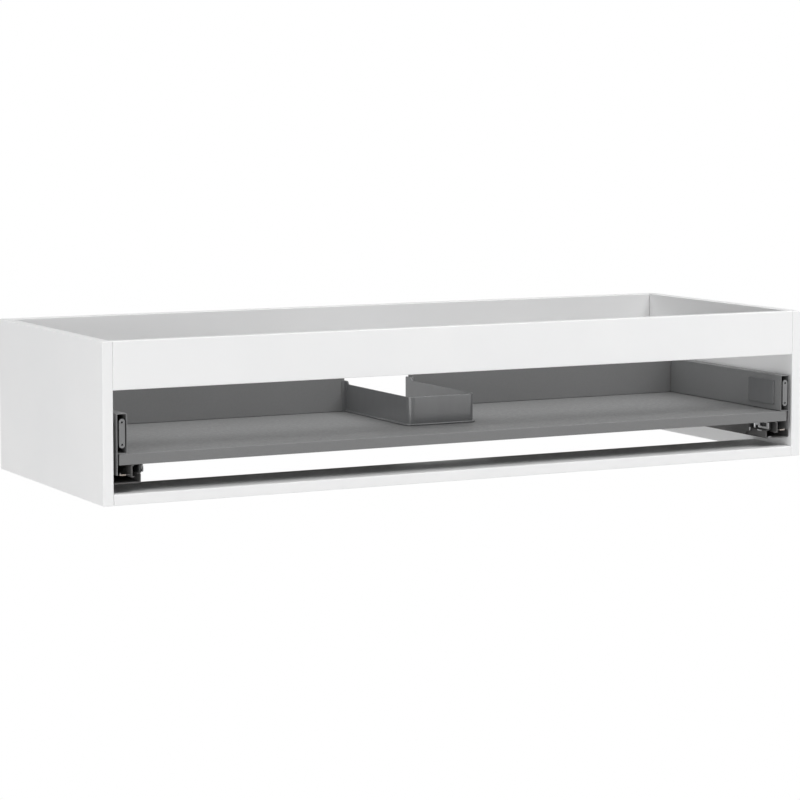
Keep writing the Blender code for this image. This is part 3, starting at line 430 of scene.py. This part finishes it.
def pale_plastic(name, light, stained):
    """Acetal: slightly milky, with traces of grease."""
    made = Finish(name, light, 0.35, Subsurface_Weight=0.12)
    made.shader.inputs["Subsurface Radius"].default_value = (0.0012, 0.001, 0.0008)
    grease = made.noise(6, 4)
    colour = made.mixed(made.between(grease, 0, 1, (0.5, 0.75)), light, stained)
    made.relief(made.noise(0.5, 2), 0.004)
    return made.done(colour, made.between(grease, 0.28, 0.46))


def rubber():
    """Soft black rubber with dust in its pores."""
    made = Finish("rubber", grey(0.03), 0.8, Specular_IOR_Level=0.3)
    pores = made.noise(0.6, 3)
    colour = made.mixed(made.between(made.noise(5, 4), 0, 1), grey(0.022), grey(0.05, -0.03))
    colour = made.mixed(made.worn_edges(3), colour, grey(0.08))
    made.relief(pores, 0.02)
    return made.done(colour, made.between(pores, 0.68, 0.9))


MATERIALS = {
    "white_lacquer": white_lacquer(),
    "grey_board": grey_board(),
    "grey_steel": grey_steel(),
    "grey_plastic": grey_plastic(),
    "zinc": zinc(),
    "black_steel": black_steel(),
    "dark_plastic": dark_plastic(),
    "white_plastic": pale_plastic("white_plastic", (0.76, 0.75, 0.7), (0.6, 0.55, 0.42)),
    "rubber": rubber(),
}
GLIDE_PLASTIC = pale_plastic("glide_plastic", (0.45, 0.4, 0.36), (0.34, 0.28, 0.23))


# ---------------------------------------------------------------- places and shapes

# Edges sharper than these angles in degrees are shaded as creases, and are rounded over
SHADING_CREASE = 40
ROUNDING_CREASE = 35

# When a CAD mesh is cleaned: points nearer than this in metres are one, and faces within this angle too
SAME_POINT = 1e-6
FLAT_ANGLE = 1

# A face is on the underside when its normal's z is below this
UNDERSIDE = -0.9


def place(x, d, z):
    """The point at x across, d back from the front plane and z up, in metres."""
    return Vector((x * MM, LOW.y + d * MM, LOW.z + z * MM))


def across(sign, s):
    """The x in millimetres of a point s inwards from the side panel on that side."""
    return sign * (PANEL_FACE / MM - s)


def dress_cad():
    """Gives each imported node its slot's material."""
    for name, slot in SLOTS.items():
        node = frame["nodes"][name]
        node.data.materials.clear()
        node.data.materials.append(MATERIALS[slot])


def finished(name, bm, slot, body, replaced=(), material=None, crease=SHADING_CREASE):
    """A piece from a bmesh, shaded by the size of its faces, riding on its body.

    It stands for the CAD nodes in replaced. Its material is the slot's own unless another is given.
    """
    mesh = bpy.data.meshes.new(name)
    bmesh.ops.recalc_face_normals(bm, faces=bm.faces)
    bm.to_mesh(mesh)
    bm.free()
    mesh.polygons.foreach_set("use_smooth", [True] * len(mesh.polygons))
    mesh.set_sharp_from_angle(angle=math.radians(crease))
    mesh.materials.append(material or MATERIALS[slot])
    piece = bpy.data.objects.new(name, mesh)
    bpy.context.scene.collection.objects.link(piece)
    weighted = piece.modifiers.new("weighted_normals", "WEIGHTED_NORMAL")
    weighted.keep_sharp = True
    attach(piece, body)
    if replaced:
        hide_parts(*replaced)
    return piece


def round_over(bm, width, segments):
    """Rounds the sharp edges by width in millimetres and marks the new faces as wear."""
    sharp = math.radians(ROUNDING_CREASE)
    edges = [
        edge
        for edge in bm.edges
        if len(edge.link_faces) == 2 and edge.calc_face_angle() > sharp
    ]
    layer = bm.faces.layers.float.new("wear")
    made = bmesh.ops.bevel(
        bm,
        geom=edges,
        offset=width * MM,
        offset_type="OFFSET",
        segments=segments,
        profile=0.5,
        affect="EDGES",
        clamp_overlap=True,
    )
    for face in made["faces"]:
        face[layer] = 1.0


def mark_painted_shade_underside(bm):
    """Marks the underside of a board, where painted shade makes it near black so that it throws less light
    on the parts below.
    """
    layer = bm.faces.layers.float.new("painted_shade_underside")
    bm.normal_update()
    for face in bm.faces:
        face[layer] = 1.0 if face.normal.z < UNDERSIDE else 0.0


def refined(node, width, segments):
    """A finer copy of a CAD node with rounded edges, which stands for it."""
    bm = bmesh.new()
    bm.from_mesh(frame["nodes"][node].data)
    bmesh.ops.remove_doubles(bm, verts=bm.verts, dist=SAME_POINT)
    flat = math.radians(FLAT_ANGLE)
    bmesh.ops.dissolve_limit(bm, angle_limit=flat, verts=bm.verts, edges=bm.edges)
    round_over(bm, width, segments)
    # The drawer floor's underside gets painted shade
    if node == "drawer_floor":
        mark_painted_shade_underside(bm)
    body = frame["nodes"][node]["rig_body"]
    return finished(f"{node}_finished", bm, SLOTS[node], body, (node,))


# The rounding of each node's edges in millimetres, and its segments
ROUNDINGS = {
    "left_side_panel": (0.8, 3),
    "right_side_panel": (0.8, 3),
    "front_top_rail": (0.8, 3),
    "back_top_rail": (0.8, 3),
    "front_bottom_rail": (0.8, 3),
    "drawer_floor": (0.5, 3),
}
# The same for the nodes that come as a left and a right one
SIDE_ROUNDINGS = {
    "drawer_back": (0.5, 3),
    "drawer_side": (0.2, 2),
    "front_bracket": (0.5, 3),
    "adjuster_housing": (0.4, 2),
    "height_cam": (0.4, 2),
    "side_cam": (0.4, 2),
    "cover_cap": (0.6, 3),
    "rear_bracket": (0.2, 2),
    "cabinet_rail": (0.2, 2),
    "middle_rail": (0.2, 2),
    "drawer_rail": (0.2, 2),
    "lower_roller_cage": (0.25, 2),
    "upper_roller_cage": (0.25, 2),
    "end_bumper": (1.0, 3),
    "soft_close_case": (0.5, 2),
    "damper_cylinder": (0.3, 2),
    "closing_catch": (0.3, 2),
    "damper_rod": (0.15, 2),
    "closing_pin": (0.25, 2),
    "catch_housing": (0.4, 2),
    "release_lever": (0.25, 2),
    "lever_pin": (0.2, 2),
    "wall_hanger_body": (0.25, 2),
    "wall_hanger_hook": (0.4, 2),
    "wall_hanger_cam": (0.3, 2),
}


def refine_cad():
    """Makes the finer copy of every CAD node but the siphon insert and the springs."""
    for node, (width, segments) in ROUNDINGS.items():
        refined(node, width, segments)
    for part, (width, segments) in SIDE_ROUNDINGS.items():
        for side, _ in SIDES:
            refined(f"{part}_{side}", width, segments)


dress_cad()
refine_cad()


# ---------------------------------------------------------------- siphon insert

# The U: its half width, the front of its bow, its corners, its wall, its heights, its rim's radius, and
# where its legs end and are divided
SIPHON_HALF = 58.5
SIPHON_FRONT = 104.0
SIPHON_CORNER = 11.5
SIPHON_WALL = 2.0
SIPHON_BOTTOM, SIPHON_TOP, EAR_TOP = 58.0, 118.0, 123.1
SIPHON_RIM = 0.9
WALL_REAR = 336.1
LEG_DEPTHS = (300.0, 230.0, 160.0)
CORNER_STEPS = 18

# The depths between which the wall's top rises into an ear
EAR_SLOPE = (312.5, 319.4)
EAR_STEPS = 8

# The flange on the drawer floor: heights, reach and the depth where it ends, with what is left past it
FLANGE_Z = (73.8, 75.7)
FLANGE_UNDERCUT = 0.6
UNDERCUT_SLOPE = 1.5
FLANGE_WIDTH = 3.5
FLANGE_ROUND = 0.7
FLANGE_END = 322.2
FLANGE_END_GAP = 0.1
FLANGE_LEFT = 0.01
RIM_STEPS = 5


def arc(centre, radius, start, end, steps):
    """Points on an arc, from start to end in degrees."""
    for i in range(steps + 1):
        angle = math.radians(start + (end - start) * i / steps)
        yield (centre[0] + radius * math.cos(angle), centre[1] + radius * math.sin(angle))


def siphon_path():
    """Points of the U on the wall's outer face with the outward direction at each, right to left."""
    slope = EAR_SLOPE[1] - EAR_SLOPE[0]
    depths = [WALL_REAR, FLANGE_END + FLANGE_END_GAP, FLANGE_END]
    depths += [EAR_SLOPE[1] - slope * i / EAR_STEPS for i in range(EAR_STEPS + 1)]
    depths += LEG_DEPTHS
    leg = [((SIPHON_HALF, d), (1, 0)) for d in depths]
    centre = (SIPHON_HALF - SIPHON_CORNER, SIPHON_FRONT + SIPHON_CORNER)
    for i in range(CORNER_STEPS + 1):
        angle = math.pi / 2 * i / CORNER_STEPS
        normal = (math.cos(angle), -math.sin(angle))
        point = tuple(c + SIPHON_CORNER * n for c, n in zip(centre, normal))
        leg.append((point, normal))
    mirrored = [((-x, d), (-nx, nd)) for (x, d), (nx, nd) in reversed(leg)]
    return leg + mirrored


def siphon_section(top, flange):
    """The wall's section, as distances outwards and up. flange is the share of the flange that it has."""
    reach = FLANGE_WIDTH - FLANGE_ROUND
    low, high = FLANGE_Z
    outline = [(-SIPHON_WALL, SIPHON_BOTTOM), (0, SIPHON_BOTTOM), (0, low)]
    skirt = [(FLANGE_WIDTH - UNDERCUT_SLOPE * FLANGE_UNDERCUT, low)]
    skirt += [(FLANGE_WIDTH, low + FLANGE_UNDERCUT)]
    skirt += arc((reach, high - FLANGE_ROUND), FLANGE_ROUND, 0, 90, RIM_STEPS)
    skirt += arc((FLANGE_ROUND, high + FLANGE_ROUND), FLANGE_ROUND, 270, 180, RIM_STEPS)
    outline += [(o * flange, z) for o, z in skirt]
    outline += arc((-SIPHON_RIM, top - SIPHON_RIM), SIPHON_RIM, 0, 90, RIM_STEPS)
    outline += arc((SIPHON_RIM - SIPHON_WALL, top - SIPHON_RIM), SIPHON_RIM, 90, 180, RIM_STEPS)
    return outline


def joined(bm, near, far):
    """The faces between two rings of as many points."""
    for i in range(len(near)):
        j = (i + 1) % len(near)
        bm.faces.new((near[i], near[j], far[j], far[i]))


def swept(bm, rings):
    """The faces along a row of rings, closed at both ends."""
    for near, far in zip(rings, rings[1:]):
        joined(bm, near, far)
    bm.faces.new(rings[0])
    bm.faces.new(reversed(rings[-1]))


def siphon_insert():
    """The U-shaped wall, swept in one piece with its rounded rim, its flange and the step at each end."""
    bm = bmesh.new()
    rings = []
    for (x, d), (nx, nd) in siphon_path():
        rise = min(max((d - EAR_SLOPE[0]) / (EAR_SLOPE[1] - EAR_SLOPE[0]), 0), 1)
        top = SIPHON_TOP + (EAR_TOP - SIPHON_TOP) * rise * rise * (3 - 2 * rise)
        section = siphon_section(top, 1.0 if d <= FLANGE_END else FLANGE_LEFT)
        rings.append([bm.verts.new(place(x + nx * o, d + nd * o, z)) for o, z in section])
    swept(bm, rings)
    finished("siphon_wall", bm, "grey_plastic", "drawer", ("siphon_insert",))


def plate(outline, plane, span):
    """A bmesh plate: an outline in the plan (x, d) or front (x, z) or side (d, z), over a span."""
    bm = bmesh.new()
    at = {
        "plan": lambda u, v, w: place(u, v, w),
        "front": lambda u, v, w: place(u, w, v),
        "side": lambda u, v, w: place(w, u, v),
    }[plane]
    low, high = ([bm.verts.new(at(u, v, w)) for u, v in outline] for w in span)
    joined(bm, low, high)
    bm.faces.new(low)
    bm.faces.new(high)
    bmesh.ops.recalc_face_normals(bm, faces=bm.faces)
    return bm


def block(sign, across_span, depths, heights):
    """A plain block on one side, between two distances each way."""
    low, high = (across(sign, s) for s in across_span)
    front, back = depths
    return plate([(low, front), (high, front), (high, back), (low, back)], "plan", heights)


# The clip's C: its front and rear jaw, its heights, its web, how far its jaws reach, and its rounding
CLIP_FRONT = (321.9, 323.0)
CLIP_REAR = (335.6, 336.7)
CLIP_Z = (74.1, 123.2)
CLIP_WEB = (57.5, 60.3)
CLIP_REACH = 65.7
CLIP_ROUNDING = (0.35, 3)


def siphon_clips():
    """The C at each end of the insert that wraps the back board."""
    outline = [
        (CLIP_WEB[0], CLIP_FRONT[0]),
        (CLIP_REACH, CLIP_FRONT[0]),
        (CLIP_REACH, CLIP_FRONT[1]),
        (CLIP_WEB[1], CLIP_FRONT[1]),
        (CLIP_WEB[1], CLIP_REAR[0]),
        (CLIP_REACH, CLIP_REAR[0]),
        (CLIP_REACH, CLIP_REAR[1]),
        (CLIP_WEB[0], CLIP_REAR[1]),
    ]
    for side, sign in SIDES:
        bm = plate([(sign * x, d) for x, d in outline], "plan", CLIP_Z)
        round_over(bm, *CLIP_ROUNDING)
        finished(f"siphon_clip_{side}", bm, "grey_plastic", "drawer")


siphon_insert()
siphon_clips()


# ---------------------------------------------------------------- slide details

# The closing spring: its axis, the radius of its coil and of its wire, its ends and its turns
SPRING_S, SPRING_Z = 21.6, 46.0
SPRING_RADIUS = 1.9
SPRING_WIRE = 0.45
SPRING_DEPTHS = (360.0, 410.0)
SPRING_TURNS = 10
SPRING_STEPS = 24
WIRE_SIDES = 10


def closing_springs():
    """A round wire wound into a coil, with closed ends."""
    steps = SPRING_TURNS * SPRING_STEPS
    pitch = (SPRING_DEPTHS[1] - SPRING_DEPTHS[0]) / steps
    for side, sign in SIDES:
        bm = bmesh.new()
        rings = []
        for i in range(steps + 1):
            turn = 2 * math.pi * i / SPRING_STEPS
            out = Vector((math.cos(turn), 0, math.sin(turn)))
            centre = place(across(sign, SPRING_S), SPRING_DEPTHS[0] + pitch * i, SPRING_Z)
            centre += out * SPRING_RADIUS * MM
            ring = []
            for j in range(WIRE_SIDES):
                angle = 2 * math.pi * j / WIRE_SIDES
                offset = out * math.cos(angle) + Vector((0, 1, 0)) * math.sin(angle)
                ring.append(bm.verts.new(centre + offset * SPRING_WIRE * MM))
            rings.append(ring)
        swept(bm, rings)
        node = f"closing_spring_{side}"
        finished(f"{node}_wound", bm, "zinc", frame["nodes"][node]["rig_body"], (node,))


# The small pieces of the slides. _S is across, _DEPTHS is back and _Z is up, and a rounding is a width
# and its segments
SHOE_OUTLINE = (
    (10.9, 42.2), (19.9, 42.2), (19.9, 43.75), (12.5, 43.75), (12.5, 44.6), (10.9, 44.6),
)
SHOE_DEPTHS = (3.7, 7.2)
SHOE_ROUNDING = (0.4, 3)


def glide_shoes():
    """The acetal shoe pushed over the guide tab at the front of each drawer rail."""
    for side, sign in SIDES:
        bm = plate([(across(sign, s), z) for s, z in SHOE_OUTLINE], "front", SHOE_DEPTHS)
        round_over(bm, *SHOE_ROUNDING)
        finished(f"glide_shoe_{side}", bm, "white_plastic", "drawer", material=GLIDE_PLASTIC)


HEM_S = (45.75, 47.75)
HEM_DEPTHS = (48.5, 50.6)
HEM_Z = (38.9, 55.2)
HEM_ROUNDING = (0.6, 4)


def skirt_hems():
    """The bright rolled edge at the front of the drawer rail's skirt."""
    for side, sign in SIDES:
        bm = block(sign, HEM_S, HEM_DEPTHS, HEM_Z)
        round_over(bm, *HEM_ROUNDING)
        finished(f"skirt_hem_{side}", bm, "zinc", "drawer")


EMBOSS_DEPTHS = (20.0, 32.0)
EMBOSS_Z = (40.9, 43.1)
EMBOSS_S = (44.3, 44.95)
EMBOSS_STEPS = 10
EMBOSS_ROUNDING = (0.3, 3)


def lip_embosses():
    """The oval pressed out of the cabinet rail's lip, which snubs the drawer rail when it closes."""
    radius = (EMBOSS_Z[1] - EMBOSS_Z[0]) / 2
    middle = sum(EMBOSS_Z) / 2
    outline = list(arc((EMBOSS_DEPTHS[1] - radius, middle), radius, -90, 90, EMBOSS_STEPS))
    outline += arc((EMBOSS_DEPTHS[0] + radius, middle), radius, 90, 270, EMBOSS_STEPS)
    for side, sign in SIDES:
        bm = plate(outline, "side", [across(sign, s) for s in EMBOSS_S])
        round_over(bm, *EMBOSS_ROUNDING)
        finished(f"lip_emboss_{side}", bm, "zinc", "cabinet")


NUB_S = (33.0, 39.0)
NUB_DEPTHS = (8.4, 12.0)
NUB_Z = (31.3, 33.0)
NUB_ROUNDING = (0.6, 4)


def rail_stop():
    """The bright nub on the floor of the right cabinet rail that stops its middle rail."""
    bm = block(SIDES[1][1], NUB_S, NUB_DEPTHS, NUB_Z)
    round_over(bm, *NUB_ROUNDING)
    finished("rail_stop_right", bm, "zinc", "cabinet")


# Rollers: cage, roller radius, height of the axes, length of a roller, where each row is across, and the
# rollers in a row
ROLLERS = (
    ("lower_roller_cage", 2.2, 34.0, 6.3, (18.0, 33.0), 4),
    ("upper_roller_cage", 2.55, 52.85, 3.6, (35.05,), 6),
)
ROLLER_CHAMFER = 0.3
ROLLER_SEGMENTS = 24


def turned(bm, profile, matrix, segments):
    """A turned solid from (radius, height) points that start and end on its axis."""
    rings = []
    for radius, height in profile:
        if radius == 0:
            rings.append([bm.verts.new(matrix @ Vector((0, 0, height * MM)))])
            continue
        ring = []
        for i in range(segments):
            angle = 2 * math.pi * i / segments
            spot = Vector((radius * math.cos(angle), radius * math.sin(angle), height)) * MM
            ring.append(bm.verts.new(matrix @ spot))
        rings.append(ring)
    for near, far in zip(rings, rings[1:]):
        if len(near) == len(far):
            joined(bm, near, far)
            continue
        for i in range(segments):
            j = (i + 1) % segments
            if len(near) == 1:
                bm.faces.new((near[0], far[j], far[i]))
            else:
                bm.faces.new((near[i], near[j], far[0]))


def rollers():
    """The steel rollers in the windows of both cages of each slide."""
    for cage, radius, z, length, rows, count in ROLLERS:
        half, edge = length / 2, ROLLER_CHAMFER
        profile = [(0, -half), (radius - edge, -half), (radius, edge - half)]
        profile += [(radius, half - edge), (radius - edge, half), (0, half)]
        for side, sign in SIDES:
            node = f"{cage}_{side}"
            low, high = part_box(node)
            pitch = (high.y - low.y) / count
            bm = bmesh.new()
            for s in rows:
                for i in range(count):
                    spot = place(across(sign, s), 0, z)
                    spot.y = low.y + pitch * (i + 0.5)
                    matrix = Matrix.Translation(spot) @ Matrix.Rotation(math.pi / 2, 4, "Y")
                    turned(bm, profile, matrix, ROLLER_SEGMENTS)
            body = frame["nodes"][node]["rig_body"]
            finished(f"{cage.replace('cage', 'rollers')}_{side}", bm, "zinc", body)


# A screw head: its rim as a share of its height, and the dome above it
SCREW_SEGMENTS = 24
SCREW_CREASE = 30
RIM_SHARE = 0.35
DOME_END = 81
DOME_STEPS = 9

# The cross recess: its reach as a share of the radius, its half width, its depth and its taper
CROSS_SHARE = 0.55
CROSS_HALF = 0.32
CROSS_DEPTH = 0.9
CROSS_TAPER = 0.7


def screw_mesh(radius, height):
    """A pan-head screw with a cross recess, standing on its seat and pointing up Z."""
    profile = [(0, 0), (radius, 0)]
    for out, up in arc((0, 0), 1, 0, DOME_END, DOME_STEPS):
        profile.append((radius * out, height * (RIM_SHARE + (1 - RIM_SHARE) * up)))
    profile.append((0, height))
    bm = bmesh.new()
    turned(bm, profile, Matrix.Identity(4), SCREW_SEGMENTS)
    bmesh.ops.recalc_face_normals(bm, faces=bm.faces)
    head = bpy.data.meshes.new("screw_head")
    bm.to_mesh(head)
    bm.free()
    cutter = bmesh.new()
    reach = radius * CROSS_SHARE
    for size in ((reach, CROSS_HALF), (CROSS_HALF, reach)):
        made = bmesh.ops.create_cube(cutter, size=2 * MM)
        for vert in made["verts"]:
            taper = 1.0 if vert.co.z > 0 else CROSS_TAPER
            vert.co.x *= size[0] * taper
            vert.co.y *= size[1] * taper
            vert.co.z = (height + vert.co.z / MM * CROSS_DEPTH) * MM
    cross = bpy.data.meshes.new("screw_cross")
    cutter.to_mesh(cross)
    cutter.free()
    screw = bpy.data.objects.new("screw_head", head)
    recess = bpy.data.objects.new("screw_cross", cross)
    for helper in (screw, recess):
        bpy.context.scene.collection.objects.link(helper)
    boolean = screw.modifiers.new("cross", "BOOLEAN")
    boolean.operation = "DIFFERENCE"
    boolean.use_self = True
    boolean.object = recess
    graph = bpy.context.evaluated_depsgraph_get()
    mesh = bpy.data.meshes.new_from_object(screw.evaluated_get(graph))
    for helper in (screw, recess):
        bpy.data.objects.remove(helper, do_unlink=True)
    return mesh


# Where each group of heads sits, as (s, d, z)
RAIL_SPOTS = [(1.85, d, 52.0) for d in (37.0, 261.0, 389.0)]
HANGER_SPOTS = [(1.85, 410.0, z) for z in (82.0, 122.0)]
BACK_SPOTS = [(34.0, 337.15, 92.0), (52.0, 337.15, 110.0)]
FLOOR_SPOTS = [(36.2, d, 55.7) for d in (70.0, 110.0)]

# Screws: name, head radius and height, spots, which way the heads point, and the body that they ride on.
# "inwards" is away from the nearer side panel, "back" towards the wall, and "down" towards the ground
SCREWS = (
    ("rail_screws", 3.9, 1.6, RAIL_SPOTS, "inwards", "cabinet"),
    ("hanger_screws", 3.8, 1.6, HANGER_SPOTS, "inwards", "cabinet"),
    ("back_screws", 3.3, 1.4, BACK_SPOTS, "back", "drawer"),
    ("floor_screws", 3.2, 1.3, FLOOR_SPOTS, "down", "drawer"),
)


def screws():
    """The screw heads of both slides, hangers, rear brackets and drawer rails."""
    for name, radius, height, spots, facing, body in SCREWS:
        mesh = screw_mesh(radius, height)
        for side, sign in SIDES:
            turn = {
                "inwards": Matrix.Rotation(-sign * math.pi / 2, 4, "Y"),
                "back": Matrix.Rotation(-math.pi / 2, 4, "X"),
                "down": Matrix.Rotation(math.pi, 4, "X"),
            }[facing]
            bm = bmesh.new()
            for s, d, z in spots:
                first = len(bm.verts)
                bm.from_mesh(mesh)
                bm.verts.ensure_lookup_table()
                matrix = Matrix.Translation(place(across(sign, s), d, z)) @ turn
                bmesh.ops.transform(bm, matrix=matrix, verts=bm.verts[first:])
            finished(f"{name}_{side}", bm, "zinc", body, crease=SCREW_CREASE)


closing_springs()
glide_shoes()
skirt_hems()
lip_embosses()
rail_stop()
rollers()
screws()
